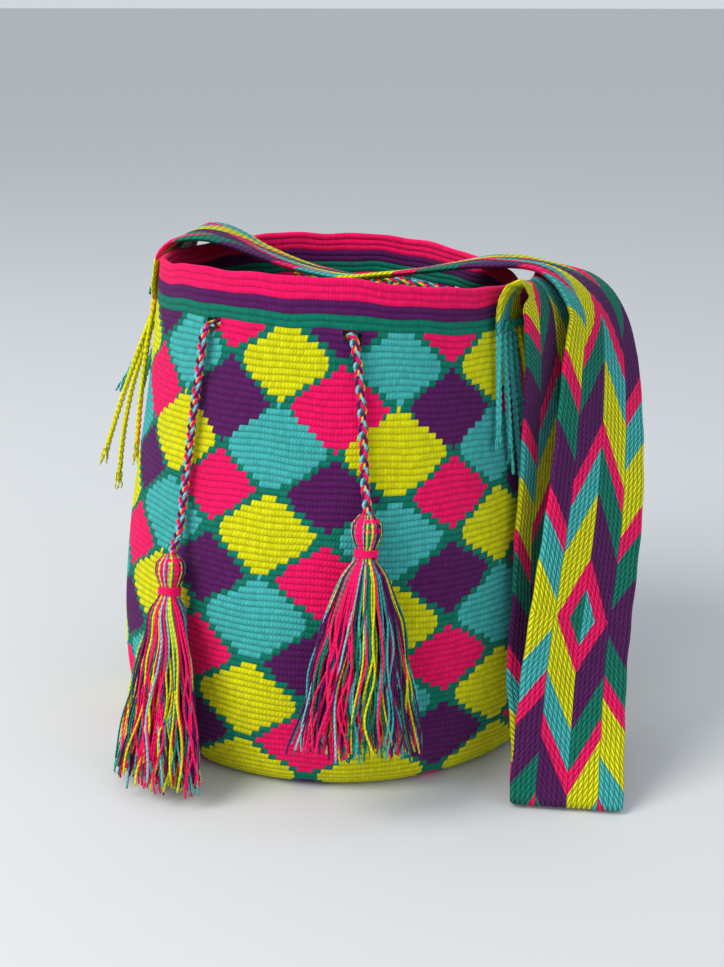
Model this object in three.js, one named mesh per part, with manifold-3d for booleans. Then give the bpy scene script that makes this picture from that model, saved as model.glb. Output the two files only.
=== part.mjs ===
// A crocheted bucket bag with a ply-split shoulder strap, a drawstring and two tassels.
// Millimetres, +Z up. The origin is the centre of the base, the strap joins the bag at -X and +X,
// and the front, where the drawstring comes out, faces -Y.
import * as THREE from 'three';
import Module from 'manifold-3d';
import { mergeVertices } from 'three/addons/utils/BufferGeometryUtils.js';

// ---- driving dimensions -------------------------------------------------------------------
const bagHeight = 314.5;      // mean height of the rim
const baseRadius = 134;       // flat part of the base
const wallThickness = 4;      // one layer of tight crochet
const eyeletHeight = 283.2;   // drawstring level, under the rim stripes
const eyeletGap = 9.5;        // height of a slot eyelet
const exitSlotAngle = 21.5;   // middle of each exit slot, degrees either side of the front
const strapWidth = 70;
const strapThickness = 4;
const cordDiameter = 6.5;     // braided drawstring
const fringeDiameter = 4;     // twisted ends of the strap yarns
const gap = 0.35;             // clearance between pieces that touch
const ringSegments = 96;

// Half width of the wall against height: rounded bottom edge, belly, narrower mouth.
const wallProfile = new THREE.SplineCurve([
  new THREE.Vector2(baseRadius, 0),
  new THREE.Vector2(143, 5),
  new THREE.Vector2(149, 18),
  new THREE.Vector2(151.5, 45),
  new THREE.Vector2(150, 88),
  new THREE.Vector2(145, 138),
  new THREE.Vector2(138.5, 185),
  new THREE.Vector2(131, 235),
  new THREE.Vector2(123.5, 285),
  new THREE.Vector2(120, bagHeight),
]);
const depthAtBase = 0.98;     // depth of the plan divided by its width
const depthAtMouth = 0.86;

const radians = THREE.MathUtils.degToRad;

// ---- shared shapes ------------------------------------------------------------------------
function halfWidth(z) {
  let low = 0;
  let high = 1;
  for (let i = 0; i < 30; i += 1) {
    const middle = (low + high) / 2;
    if (wallProfile.getPoint(middle).y < z) low = middle;
    else high = middle;
  }
  return wallProfile.getPoint(low).x;
}

// The plan is round at the base and an oval at the mouth.
function depthRatio(z) {
  return THREE.MathUtils.lerp(depthAtBase, depthAtMouth, THREE.MathUtils.smoothstep(z, 20, 330));
}

// The soft rim rises and dips; the wall below follows it less and less.
function rimLift(angle) {
  const once = -4.5 * Math.cos(angle) - 3 * Math.sin(angle);
  const twice = -4.3 * Math.cos(2 * angle) - 1.1 * Math.sin(2 * angle);
  return once + twice;
}

function wallPoint(angle, z, offset) {
  const width = halfWidth(z) + offset;
  const depth = halfWidth(z) * depthRatio(z) + offset;
  const lift = rimLift(angle) * (z / bagHeight) ** 3;
  return new THREE.Vector3(width * Math.cos(angle), depth * Math.sin(angle), z + lift);
}

// A closed skin through rings of points; the first and last rings close on a centre point.
function ringSolid(rings, first, last) {
  const count = rings[0].length;
  const points = rings.flat().concat([first, last]);
  const faces = [];
  for (let i = 0; i < rings.length - 1; i += 1) {
    for (let j = 0; j < count; j += 1) {
      const k = (j + 1) % count;
      const a = i * count + j;
      const b = i * count + k;
      faces.push(a, b, b + count, a, b + count, a + count);
    }
  }
  const end = (rings.length - 1) * count;
  for (let j = 0; j < count; j += 1) {
    const k = (j + 1) % count;
    faces.push(points.length - 2, k, j);
    faces.push(points.length - 1, end + j, end + k);
  }
  const geometry = new THREE.BufferGeometry().setFromPoints(points);
  geometry.setIndex(faces);
  return geometry;
}

function tube(points, diameter, steps, sides) {
  const section = new THREE.Shape();
  for (let i = 0; i < sides; i += 1) {
    const angle = (2 * Math.PI * i) / sides;
    const x = (diameter / 2) * Math.cos(angle);
    const y = (diameter / 2) * Math.sin(angle);
    if (i === 0) section.moveTo(x, y);
    else section.lineTo(x, y);
  }
  section.closePath();
  const path = new THREE.CatmullRomCurve3(points, false, 'centripetal');
  return new THREE.ExtrudeGeometry(section, { steps, extrudePath: path, bevelEnabled: false });
}

// ---- booleans -----------------------------------------------------------------------------
const wasm = await Module();
wasm.setup();

function toManifold(geometry) {
  const plain = geometry.clone();
  plain.deleteAttribute('normal');
  plain.deleteAttribute('uv');
  const merged = mergeVertices(plain);
  const vertProperties = Float32Array.from(merged.attributes.position.array);
  const triVerts = Uint32Array.from(merged.index.array);
  return new wasm.Manifold(new wasm.Mesh({ numProp: 3, vertProperties, triVerts }));
}

function fromManifold(solid) {
  const mesh = solid.getMesh();
  const geometry = new THREE.BufferGeometry();
  geometry.setAttribute('position', new THREE.BufferAttribute(mesh.vertProperties, 3));
  geometry.setIndex(new THREE.BufferAttribute(mesh.triVerts, 1));
  return geometry;
}

// ---- materials ----------------------------------------------------------------------------
function yarn(color) {
  return new THREE.MeshStandardMaterial({ color, roughness: 0.85, metalness: 0 });
}
const turquoiseYarn = yarn(0x4fb3ad);
const pinkYarn = yarn(0xf01c68);
const yellowYarn = yarn(0xdedc1c);
const purpleYarn = yarn(0x5e1e62);
const tealYarn = yarn(0x158070);

const bag = new THREE.Group();

function addPiece(name, geometry, material) {
  geometry.computeVertexNormals();
  const mesh = new THREE.Mesh(geometry, material);
  mesh.name = name;
  bag.add(mesh);
  return mesh;
}

// ---- bag body -----------------------------------------------------------------------------
const dashAngles = [50, 130];  // where the drawstring shows outside, behind the bag
const dashHalf = 10;           // half the length of such a stretch, degrees

function ringAt(z, offset) {
  const ring = [];
  for (let j = 0; j < ringSegments; j += 1) {
    ring.push(wallPoint((2 * Math.PI * j) / ringSegments, z, offset));
  }
  return ring;
}

function discRing(scale, z, offset) {
  return ringAt(0, offset).map((p) => new THREE.Vector3(p.x * scale, p.y * scale, z));
}

function bagShell() {
  const rings = [discRing(0.4, 0, 0), discRing(0.75, 0, 0)];
  const heights = [0, 2, 5, 10, 18, 30, 45, 65, 88, 112, 138, 162, 185, 210, 235, 258, 272, 285, 298];
  for (const z of heights) rings.push(ringAt(z, 0));
  rings.push(ringAt(309, 0.8), ringAt(313, 0), ringAt(bagHeight, -2.5), ringAt(313, -5), ringAt(309, -5.6));
  for (const z of [298, 285, 258, 225, 185, 138, 88, 45, 18, 8]) rings.push(ringAt(z, -wallThickness));
  rings.push(discRing(0.92, wallThickness, -wallThickness), discRing(0.5, wallThickness, 0));
  return ringSolid(rings, new THREE.Vector3(0, 0, 0), new THREE.Vector3(0, 0, wallThickness));
}

function eyeletCutter(angle, length) {
  const cutter = new THREE.BoxGeometry(length, 34, eyeletGap);
  const place = wallPoint(angle, eyeletHeight, -wallThickness / 2);
  const ahead = wallPoint(angle + 0.02, eyeletHeight, -wallThickness / 2);
  const behind = wallPoint(angle - 0.02, eyeletHeight, -wallThickness / 2);
  cutter.rotateZ(Math.atan2(ahead.y - behind.y, ahead.x - behind.x));
  cutter.translate(place.x, place.y, place.z);
  return cutter;
}

let bodySolid = toManifold(bagShell());
const exitSlot = 25;
const dashSlot = 27;
for (const side of [-1, 1]) {
  const middle = radians(-90 + side * exitSlotAngle);
  bodySolid = bodySolid.subtract(toManifold(eyeletCutter(middle, exitSlot)));
}
for (const angle of dashAngles) {
  for (const side of [-1, 1]) {
    bodySolid = bodySolid.subtract(toManifold(eyeletCutter(radians(angle + side * dashHalf), dashSlot)));
  }
}
addPiece('bag_body', fromManifold(bodySolid), turquoiseYarn);

// ---- shoulder strap -----------------------------------------------------------------------
// Stations along the band: centre x, y, z, then the direction of its width x, y, z.
// From its left end on the wall, over the rim, across the mouth, over the right rim, down to a
// fold on the ground, and back up beside the bag to its right end on the wall.
const strapRoute = [
  [-129.5, 14, 284, -0.05, 1, 0],
  [-128.5, 14, 298, -0.05, 1, 0],
  [-126, 14, 312, -0.06, 1, 0],
  [-119.5, 15, 320.5, -0.08, 1, 0],
  [-111, 16.5, 325, -0.14, 0.99, 0.02],
  [-97, 19.5, 325, -0.17, 0.98, -0.02],
  [-82, 22.5, 320, -0.18, 0.98, -0.07],
  [-68, 25, 313.5, -0.17, 0.98, -0.12],
  [-34, 28.5, 302.5, -0.12, 0.98, -0.16],
  [-2, 31.5, 298, -0.09, 0.98, -0.16],
  [31, 34, 302, -0.07, 0.98, -0.15],
  [64, 35, 308, -0.04, 0.99, -0.1],
  [98, 35, 314, 0, 1, -0.06],
  [139, 33, 311, 0.18, 0.97, -0.16],
  [159, 31, 299.5, 0.25, 0.96, -0.1],
  [170.5, 27, 283.5, 0.32, 0.94, -0.08],
  [175.5, 18.5, 264, 0.47, 0.88, -0.09],
  [182.5, -10, 217, 0.65, 0.75, -0.13],
  [186, -34.5, 170, 0.75, 0.65, -0.13],
  [186, -73, 86, 0.83, 0.55, -0.1],
  [188.5, -93, 42, 0.9, 0.43, -0.06],
  [191, -108, 9, 0.96, 0.27, 0],
  [191.3, -109.5, 5.3, 0.97, 0.24, 0],
  [190.6, -106.4, 2.7, 0.97, 0.24, 0],
  [189.9, -103, 5.4, 0.97, 0.24, 0],
  [189, -99.5, 11, 0.96, 0.27, 0],
  [184, -84, 41, 0.93, 0.37, 0],
  [171, -59, 68, 0.72, 0.7, 0],
  [162.5, -42, 96, 0.5, 0.87, 0],
  [156, -29, 131, 0.4, 0.92, 0],
  [152.5, -16, 170, 0.36, 0.93, 0],
  [151.5, -7, 216, 0.36, 0.93, 0],
  [150, -3, 252, 0.33, 0.94, 0],
  [147.5, -2, 277, 0.29, 0.96, 0],
  [144, -2.5, 295, 0.24, 0.97, 0],
  [138, -3, 305.5, 0.18, 0.98, 0],
  [131.8, -4, 309, 0.15, 0.99, 0],
  [127.6, -5.5, 301, 0.18, 0.98, 0],
  [127.5, -6.5, 280, 0.2, 0.98, 0],
];
const strapSteps = 150;

function strapSolid() {
  const line = new THREE.CatmullRomCurve3(strapRoute.map((s) => new THREE.Vector3(s[0], s[1], s[2])));
  const widths = new THREE.CatmullRomCurve3(strapRoute.map((s) => new THREE.Vector3(s[3], s[4], s[5])));
  const rings = [];
  for (let i = 0; i <= strapSteps; i += 1) {
    const t = line.getUtoTmapping(i / strapSteps);
    const centre = line.getPoint(t);
    const ahead = line.getTangent(t);
    const across = widths.getPoint(t);
    across.addScaledVector(ahead, -across.dot(ahead)).normalize();
    const face = new THREE.Vector3().crossVectors(ahead, across);
    const corner = (u, v) => centre.clone()
      .addScaledVector(across, (u * strapWidth) / 2)
      .addScaledVector(face, (v * strapThickness) / 2);
    rings.push([corner(-1, -1), corner(0, -1), corner(1, -1), corner(1, 1), corner(0, 1), corner(-1, 1)]);
  }
  const middle = (ring) => {
    const total = new THREE.Vector3();
    for (const point of ring) total.add(point);
    return total.divideScalar(ring.length);
  };
  return ringSolid(rings, middle(rings[0]), middle(rings[rings.length - 1]));
}
addPiece('shoulder_strap', strapSolid(), pinkYarn);

// ---- drawstring ---------------------------------------------------------------------------
// One braided cord: down from the left tassel's head, read upward, in at the left exit, round
// inside the wall with two stretches outside at the back, and out and down at the right exit.
const insideOffset = -wallThickness - cordDiameter / 2 - 0.9;
const outsideOffset = cordDiameter / 2 + 0.9;
const leftExit = 248;         // where each tail comes out, degrees round the wall
const rightExit = -67;
const leftTail = [
  [-61.5, -133.8, 148.2],
  [-59.8, -126, 160],
  [-58.5, -120.5, 183],
  [-56.5, -115.5, 208],
  [-54, -111.5, 235],
  [-51.5, -108, 257],
  [-49.6, -106.2, 272],
];
const rightTail = [
  [52.4, -104.2, 270],
  [54.6, -105.9, 256],
  [57, -108.8, 238],
  [59.5, -112.8, 217],
  [61.5, -116.8, 200],
  [66.1, -125.4, 187.2],
];

function weave(degrees) {
  let share = 0;
  for (const centre of dashAngles) {
    const away = Math.abs(degrees - centre) - dashHalf;
    share = Math.max(share, 1 - THREE.MathUtils.smoothstep(away, -4, 4));
  }
  return THREE.MathUtils.lerp(insideOffset, outsideOffset, share);
}

function drawstringPoints() {
  const points = leftTail.map((p) => new THREE.Vector3(...p));
  points.push(wallPoint(radians(leftExit), eyeletHeight - 2.5, outsideOffset));
  points.push(wallPoint(radians(leftExit + 0.8), eyeletHeight + 1.4, -wallThickness / 2));
  for (let degrees = 253; degrees >= -73; degrees -= 4) {
    points.push(wallPoint(radians(degrees), eyeletHeight, weave(degrees)));
  }
  points.push(wallPoint(radians(rightExit - 0.8), eyeletHeight + 1.4, -wallThickness / 2));
  points.push(wallPoint(radians(rightExit), eyeletHeight - 2.5, outsideOffset));
  return points.concat(rightTail.map((p) => new THREE.Vector3(...p)));
}
addPiece('drawstring', tube(drawstringPoints(), cordDiameter, 110, 8), purpleYarn);

// ---- tassels ------------------------------------------------------------------------------
// Radius against distance below the top of the head; the skirt is flatter from front to back.
const tasselProfile = [
  [5, 0], [9.5, 3.5], [11, 10], [9, 16.5], [6, 20], [6, 27], [12, 38], [21, 67], [30, 106], [36, 146],
];
const frontFlatness = 0.6;
const backFlatness = 0.3;     // the side that rests against the wall

function tasselPoint(top, foot, down, radius, angle, outward) {
  const axis = foot.clone().sub(top).normalize();
  const side = new THREE.Vector3().crossVectors(axis, outward).normalize();
  const front = new THREE.Vector3().crossVectors(side, axis).normalize();
  const flatness = Math.sin(angle) > 0 ? backFlatness : frontFlatness;
  const flat = THREE.MathUtils.lerp(1, flatness, THREE.MathUtils.smoothstep(down, 28, 56));
  return top.clone()
    .addScaledVector(axis, down)
    .addScaledVector(side, radius * Math.cos(angle))
    .addScaledVector(front, -radius * flat * Math.sin(angle));
}

function tasselRings(top, foot, outward, profile, sides) {
  return profile.map(([radius, down]) => {
    const ring = [];
    for (let j = 0; j < sides; j += 1) {
      ring.push(tasselPoint(top, foot, down, radius, (2 * Math.PI * j) / sides, outward));
    }
    return ring;
  });
}

function tasselSolid(top, foot, outward) {
  const rings = tasselRings(top, foot, outward, tasselProfile, 20);
  const lowest = tasselProfile[tasselProfile.length - 1][1];
  const end = tasselPoint(top, foot, lowest, 0, 0, outward);
  return ringSolid(rings, top.clone(), end);
}

// The binding is a closed ring of wound yarn round the tassel's neck.
function bindingSolid(top, foot, outward) {
  const inner = 6 + gap;
  const outline = [[inner, 21], [inner, 26], [8, 26], [8.5, 23.5], [8, 21]];
  const rings = tasselRings(top, foot, outward, outline.concat([outline[0]]), 20);
  const points = rings.slice(0, -1).flat();
  const count = 20;
  const faces = [];
  for (let i = 0; i < outline.length; i += 1) {
    const next = (i + 1) % outline.length;
    for (let j = 0; j < count; j += 1) {
      const k = (j + 1) % count;
      faces.push(i * count + j, next * count + k, i * count + k);
      faces.push(i * count + j, next * count + j, next * count + k);
    }
  }
  const geometry = new THREE.BufferGeometry().setFromPoints(points);
  geometry.setIndex(faces);
  return geometry;
}

const tassels = {
  left: { top: [-61.8, -134.7, 147], foot: [-57, -171.5, 4], outward: [-0.42, -0.9, 0] },
  right: { top: [66.5, -126.3, 186], foot: [71.5, -157.5, 40], outward: [0.4, -0.92, 0] },
};
for (const [side, place] of Object.entries(tassels)) {
  const top = new THREE.Vector3(...place.top);
  const foot = new THREE.Vector3(...place.foot);
  const outward = new THREE.Vector3(...place.outward);
  addPiece(`${side}_tassel`, tasselSolid(top, foot, outward), pinkYarn);
  addPiece(`${side}_tassel_binding`, bindingSolid(top, foot, outward), pinkYarn);
}

// ---- strap ends: fringe cords and stitching ------------------------------------------------
// Each end of the strap runs out in twisted cords. u is the place across the strap, from its front
// edge at -1 to its rear edge at 1; the cords hang beside the wall and stand off it part way down.
const fringes = {
  left: {
    station: strapRoute[0],
    cords: [
      { u: -0.88, length: 118, drift: 1, endOffset: 7, bulge: 2, material: yellowYarn },
      { u: -0.62, length: 124, drift: 0, endOffset: 38, bulge: 2, material: yellowYarn },
      { u: -0.36, length: 148, drift: -1, endOffset: 32, bulge: 8, material: yellowYarn },
      { u: -0.1, length: 78, drift: -1, endOffset: 46, bulge: 0, material: tealYarn },
      { u: 0.16, length: 88, drift: 0, endOffset: 36, bulge: 2, material: tealYarn },
      { u: 0.44, length: 100, drift: 2, endOffset: 24, bulge: 3, material: yellowYarn },
    ],
  },
  right: {
    station: strapRoute[strapRoute.length - 1],
    cords: [
      { u: -0.92, length: 70, drift: -4, endOffset: 3.5, bulge: 0, material: tealYarn },
      { u: -0.73, length: 88, drift: -2.5, endOffset: 3.5, bulge: 0, material: tealYarn },
      { u: -0.54, length: 118, drift: -1.5, endOffset: 3.5, bulge: 0, material: tealYarn },
      { u: -0.35, length: 78, drift: 0, endOffset: 3.5, bulge: 0, material: tealYarn },
      { u: -0.18, length: 98, drift: 0.5, endOffset: 3.5, bulge: 0, material: yellowYarn },
      { u: -0.01, length: 66, drift: 1, endOffset: 4, bulge: 0, material: yellowYarn },
      { u: 0.16, length: 58, drift: 2, endOffset: 5, bulge: 0, material: yellowYarn },
      { u: 0.34, length: 52, drift: 3, endOffset: 6, bulge: 0, material: yellowYarn },
    ],
  },
};

const fringeDrop = 2.2;       // the cords start this far under the end of the band

function fringePoints(station, cord) {
  const across = new THREE.Vector3(...station.slice(3)).normalize();
  const start = new THREE.Vector3(...station.slice(0, 3)).addScaledVector(across, (cord.u * strapWidth) / 2);
  const angle = Math.atan2(start.y / depthRatio(start.z), start.x);
  const lift = rimLift(angle) * (start.z / bagHeight) ** 3;
  const height = start.z - fringeDrop - lift;
  const wall = wallPoint(angle, height, 0);
  const standing = Math.hypot(start.x, start.y) - Math.hypot(wall.x, wall.y);
  const points = [];
  for (let i = 0; i <= 6; i += 1) {
    const t = i / 6;
    const offset = THREE.MathUtils.lerp(standing, cord.endOffset, t) + cord.bulge * Math.sin(Math.PI * t);
    points.push(wallPoint(angle + radians(cord.drift) * t, height - cord.length * t, offset));
  }
  return points;
}

for (const [side, fringe] of Object.entries(fringes)) {
  fringe.cords.forEach((cord, index) => {
    const geometry = tube(fringePoints(fringe.station, cord), fringeDiameter, 12, 8);
    addPiece(`${side}_fringe_cord_${index + 1}`, geometry, cord.material);
  });
}

// A zigzag of yarn on the outside of each strap end holds it to the wall.
const stitchDiameter = 2;
const stitchCount = 8;
function stitchPoints(station, outward, low, high) {
  const across = new THREE.Vector3(...station.slice(3)).normalize();
  const middle = new THREE.Vector3(...station.slice(0, 3));
  const lift = strapThickness / 2 + stitchDiameter / 2 + gap + 0.4;
  const points = [];
  for (let i = 0; i <= 2 * stitchCount; i += 1) {
    const u = THREE.MathUtils.lerp(-0.9, 0.9, i / (2 * stitchCount));
    const point = middle.clone().addScaledVector(across, (u * strapWidth) / 2);
    point.addScaledVector(outward, lift);
    point.z = i % 2 === 0 ? low : high;
    points.push(point);
  }
  return points;
}
const leftStitches = stitchPoints(fringes.left.station, new THREE.Vector3(-1, -0.05, 0), 286.5, 291);
const rightStitches = stitchPoints(fringes.right.station, new THREE.Vector3(0.98, -0.2, 0), 283, 289);
addPiece('left_strap_stitching', tube(leftStitches, stitchDiameter, 64, 6), tealYarn);
addPiece('right_strap_stitching', tube(rightStitches, stitchDiameter, 64, 6), tealYarn);

export default bag;
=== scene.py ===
import math
import random
import bpy
import numpy as np
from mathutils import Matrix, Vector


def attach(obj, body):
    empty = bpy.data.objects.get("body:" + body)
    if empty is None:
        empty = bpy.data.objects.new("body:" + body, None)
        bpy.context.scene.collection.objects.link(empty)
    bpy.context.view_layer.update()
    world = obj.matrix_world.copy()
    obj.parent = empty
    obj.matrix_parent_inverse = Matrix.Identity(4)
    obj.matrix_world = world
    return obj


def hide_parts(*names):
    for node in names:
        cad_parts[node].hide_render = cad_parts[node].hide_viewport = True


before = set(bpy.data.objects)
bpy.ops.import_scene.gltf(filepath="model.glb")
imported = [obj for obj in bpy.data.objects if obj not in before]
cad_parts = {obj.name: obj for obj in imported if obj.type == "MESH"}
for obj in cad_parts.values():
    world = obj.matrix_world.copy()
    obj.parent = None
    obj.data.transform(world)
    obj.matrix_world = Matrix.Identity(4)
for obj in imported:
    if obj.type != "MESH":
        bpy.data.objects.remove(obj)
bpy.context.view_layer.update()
print("frame loaded")

toMetres = 0.001  # every size below is in millimetres unless it says metres
bpy.context.scene.view_settings.view_transform = "Standard"

cameraSettings = {
    "place": (0.3430, -0.8957, 0.475),  # metres
    "aim": (-0.3248, 0.8924, -0.3133),
    "lens": 54,
}


def placeCamera(settings):
    data = bpy.data.cameras.new("camera")
    data.lens = settings["lens"]
    camera = bpy.data.objects.new("camera", data)
    camera.location = settings["place"]
    camera.rotation_euler = Vector(settings["aim"]).to_track_quat("-Z", "Y").to_euler()
    bpy.context.scene.collection.objects.link(camera)
    bpy.context.scene.camera = camera


placeCamera(cameraSettings)
print("camera placed")

# linear colours of the yarns
yarnColours = {
    "yellow": (0.72, 0.70, 0.003),
    "pink": (0.96, 0.005, 0.125),
    "turquoise": (0.055, 0.44, 0.425),
    "green": (0.002, 0.185, 0.122),
    "purple": (0.098, 0.009, 0.105),
    "lightBlue": (0.20, 0.55, 0.60),
}


def smoothstep(value, low, high):
    share = np.clip((np.asarray(value, float) - low) / (high - low), 0, 1)
    return share * share * (3 - 2 * share)


def unit(vectors):
    vectors = np.asarray(vectors, float)
    return vectors / np.linalg.norm(vectors, axis=-1, keepdims=True)


def hermite(start, end, leave, arrive, steps):
    t = np.linspace(0, 1, steps, endpoint=False)[:, None]
    bend = 3 * (end - start) - 2 * leave - arrive
    return start + leave * t + bend * t ** 2 + (2 * (start - end) + leave + arrive) * t ** 3


def curveThrough(points, steps=24):
    # centripetal spline, the one that the frame's cords and strap follow
    points = np.asarray(points, float)
    chain = np.vstack([2 * points[0] - points[1], points, 2 * points[-1] - points[-2]])
    spans = []
    for i in range(len(points) - 1):
        a, b, c, d = chain[i:i + 4]
        ab, bc, cd = (math.sqrt(np.linalg.norm(q - p)) for p, q in ((a, b), (b, c), (c, d)))
        bc = bc or 1.0
        ab, cd = ab or bc, cd or bc
        leave = ((b - a) / ab - (c - a) / (ab + bc) + (c - b) / bc) * bc
        arrive = ((c - b) / bc - (d - b) / (bc + cd) + (d - c) / cd) * bc
        spans.append(hermite(b, c, leave, arrive, steps))
    return np.vstack(spans + [points[-1:]])


def lengthsAlong(path):
    return np.concatenate([[0], np.cumsum(np.linalg.norm(np.diff(path, axis=0), axis=1))])


def evenly(path, spacing, *others):
    # the same line in equal steps, and other values along it
    lengths = lengthsAlong(path)
    at = np.linspace(0, lengths[-1], max(2, int(round(lengths[-1] / spacing)) + 1))
    resampled = [np.column_stack([np.interp(at, lengths, column) for column in np.asarray(item, float).T])
                 for item in (path,) + others]
    return resampled if others else resampled[0]


def newBundle():
    return {"points": [], "faces": [], "uvs": [], "tints": [], "count": 0}


def addGrid(bundle, grid, uvs, tint=(1, 1, 1), capped=True):
    # rings of points, each ring closed; uvs has one more column than the ring has points
    rings, around = grid.shape[:2]
    first = bundle["count"]
    i, j = np.meshgrid(np.arange(rings - 1), np.arange(around), indexing="ij")
    k = (j + 1) % around
    quads = np.stack([i * around + j, i * around + k, (i + 1) * around + k, (i + 1) * around + j], axis=-1)
    bundle["faces"] += (quads.reshape(-1, 4) + first).tolist()
    corners = np.stack([uvs[i, j], uvs[i, j + 1], uvs[i + 1, j + 1], uvs[i + 1, j]], axis=2)
    bundle["uvs"].append(corners.reshape(-1, 2))
    if capped:
        last = first + (rings - 1) * around
        bundle["faces"].append(list(range(first + around - 1, first - 1, -1)))
        bundle["faces"].append(list(range(last, last + around)))
        bundle["uvs"].append(uvs[0, around - 1::-1])
        bundle["uvs"].append(uvs[-1, :around])
    bundle["points"].append(grid.reshape(-1, 3))
    bundle["tints"].append(np.tile(np.asarray(tint, float), (rings * around, 1)))
    bundle["count"] += rings * around


def framesAlong(path, reference):
    along = unit(np.gradient(path, axis=0))
    side = unit(np.cross(along, reference))
    return side, np.cross(side, along)


def addTube(bundle, path, radius, reference, sides=6, tint=(1, 1, 1)):
    side, up = framesAlong(path, reference)
    turn = np.linspace(0, 2 * math.pi, sides, endpoint=False)[None, :, None]
    radii = np.broadcast_to(np.asarray(radius, float), (len(path),))[:, None, None]
    ring = path[:, None, :] + radii * (np.cos(turn) * side[:, None, :] + np.sin(turn) * up[:, None, :])
    across = np.linspace(0, 1, sides + 1)
    along = lengthsAlong(path) / 1000
    uvs = np.stack(np.broadcast_arrays(across[None, :], along[:, None]), axis=-1)
    addGrid(bundle, ring, uvs, tint)


def makePiece(name, bundle, material, nodes, slotName):
    mesh = bpy.data.meshes.new(name)
    points = np.vstack(bundle["points"]) * toMetres
    mesh.from_pydata(points.tolist(), [], bundle["faces"])
    layer = mesh.uv_layers.new(name="yarnMap")
    layer.data.foreach_set("uv", np.vstack(bundle["uvs"]).astype(np.float32).ravel())
    tint = mesh.attributes.new("tint", "FLOAT_COLOR", "POINT")
    colours = np.column_stack([np.vstack(bundle["tints"]), np.ones(len(points))])
    tint.data.foreach_set("color", colours.astype(np.float32).ravel())
    mesh.shade_smooth()
    mesh.materials.append(material)
    piece = bpy.data.objects.new(name, mesh)
    bpy.context.scene.collection.objects.link(piece)
    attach(piece, "root")
    if nodes:
        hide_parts(*nodes)
    print(name, len(mesh.polygons), "faces")
    return piece


# small builders for the yarn materials
def startMaterial(name, settings):
    material = bpy.data.materials.new(name)
    material.use_nodes = True
    tree = material.node_tree
    shader = tree.nodes["Principled BSDF"]
    shader.inputs["Roughness"].default_value = settings["roughness"]
    shader.inputs["Specular IOR Level"].default_value = settings["specular"]
    shader.inputs["Sheen Weight"].default_value = settings["sheen"]
    shader.inputs["Sheen Roughness"].default_value = 0.45
    return material, tree, shader


def connect(tree, socket, value):
    if isinstance(value, bpy.types.NodeSocket):
        tree.links.new(value, socket)
    elif isinstance(value, tuple):
        socket.default_value = value + (1,) if len(value) == 3 and len(socket.default_value) == 4 else value
    else:
        socket.default_value = value


def calculator(tree):
    def calc(operation, *values):
        node = tree.nodes.new("ShaderNodeMath")
        node.operation = operation
        for socket, value in zip(node.inputs, values):
            connect(tree, socket, value)
        return node.outputs[0]
    return calc


def mixColours(tree, share, first, second, blend="MIX"):
    node = tree.nodes.new("ShaderNodeMix")
    node.data_type = "RGBA"
    node.blend_type = blend
    connect(tree, node.inputs[0], share)
    connect(tree, node.inputs[6], first)
    connect(tree, node.inputs[7], second)
    return node.outputs[2]


def mappedUv(tree, acrossScale, alongScale):
    source = tree.nodes.new("ShaderNodeUVMap")
    source.uv_map = "yarnMap"
    split = tree.nodes.new("ShaderNodeSeparateXYZ")
    tree.links.new(source.outputs[0], split.inputs[0])
    calc = calculator(tree)
    return calc("MULTIPLY", split.outputs[0], acrossScale), calc("MULTIPLY", split.outputs[1], alongScale)


def noise(tree, scale, detail=3.0, roughness=0.6):
    place = tree.nodes.new("ShaderNodeTexCoord")
    node = tree.nodes.new("ShaderNodeTexNoise")
    node.inputs["Scale"].default_value = scale
    node.inputs["Detail"].default_value = detail
    node.inputs["Roughness"].default_value = roughness
    tree.links.new(place.outputs["Object"], node.inputs["Vector"])
    return node.outputs[0]


def cellNoise(tree, across, along):
    joined = tree.nodes.new("ShaderNodeCombineXYZ")
    connect(tree, joined.inputs[0], across)
    connect(tree, joined.inputs[1], along)
    node = tree.nodes.new("ShaderNodeTexWhiteNoise")
    tree.links.new(joined.outputs[0], node.inputs["Vector"])
    return node.outputs[0]


def addBump(tree, shader, height, distance, strength=1.0):
    node = tree.nodes.new("ShaderNodeBump")
    node.inputs["Strength"].default_value = strength
    node.inputs["Distance"].default_value = distance
    tree.links.new(height, node.inputs["Height"])
    tree.links.new(node.outputs[0], shader.inputs["Normal"])


def steppedColours(tree, place, stops):
    # stops are (start, colour name), each colour running to the next start
    node = tree.nodes.new("ShaderNodeValToRGB")
    ramp = node.color_ramp
    ramp.interpolation = "CONSTANT"
    while len(ramp.elements) < len(stops):
        ramp.elements.new(0.5)
    for element, (start, colourName) in zip(ramp.elements, stops):
        element.position = start
        element.color = yarnColours[colourName] + (1,)
    tree.links.new(place, node.inputs[0])
    return node.outputs[0]


def steppedValues(tree, place, values):
    # values[0] below 0.5, values[1] from there to 1.5, and so on
    calc = calculator(tree)
    total = values[0]
    for step, (before, after) in enumerate(zip(values, values[1:])):
        total = calc("ADD", calc("MULTIPLY", calc("GREATER_THAN", place, step + 0.5), after - before), total)
    return total


def shaded(tree, colour, height, depth, variation):
    # painted shade darkens each groove, and the tone is uneven from stitch to stitch
    calc = calculator(tree)
    paintedGrooveShade = calc("ADD", calc("MULTIPLY", height, depth), 1 - depth)
    level = calc("MULTIPLY", paintedGrooveShade, variation)
    grey = tree.nodes.new("ShaderNodeCombineColor")
    for socket in grey.inputs[:3]:
        tree.links.new(level, socket)
    return mixColours(tree, 1.0, colour, grey.outputs[0], "MULTIPLY")


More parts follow.
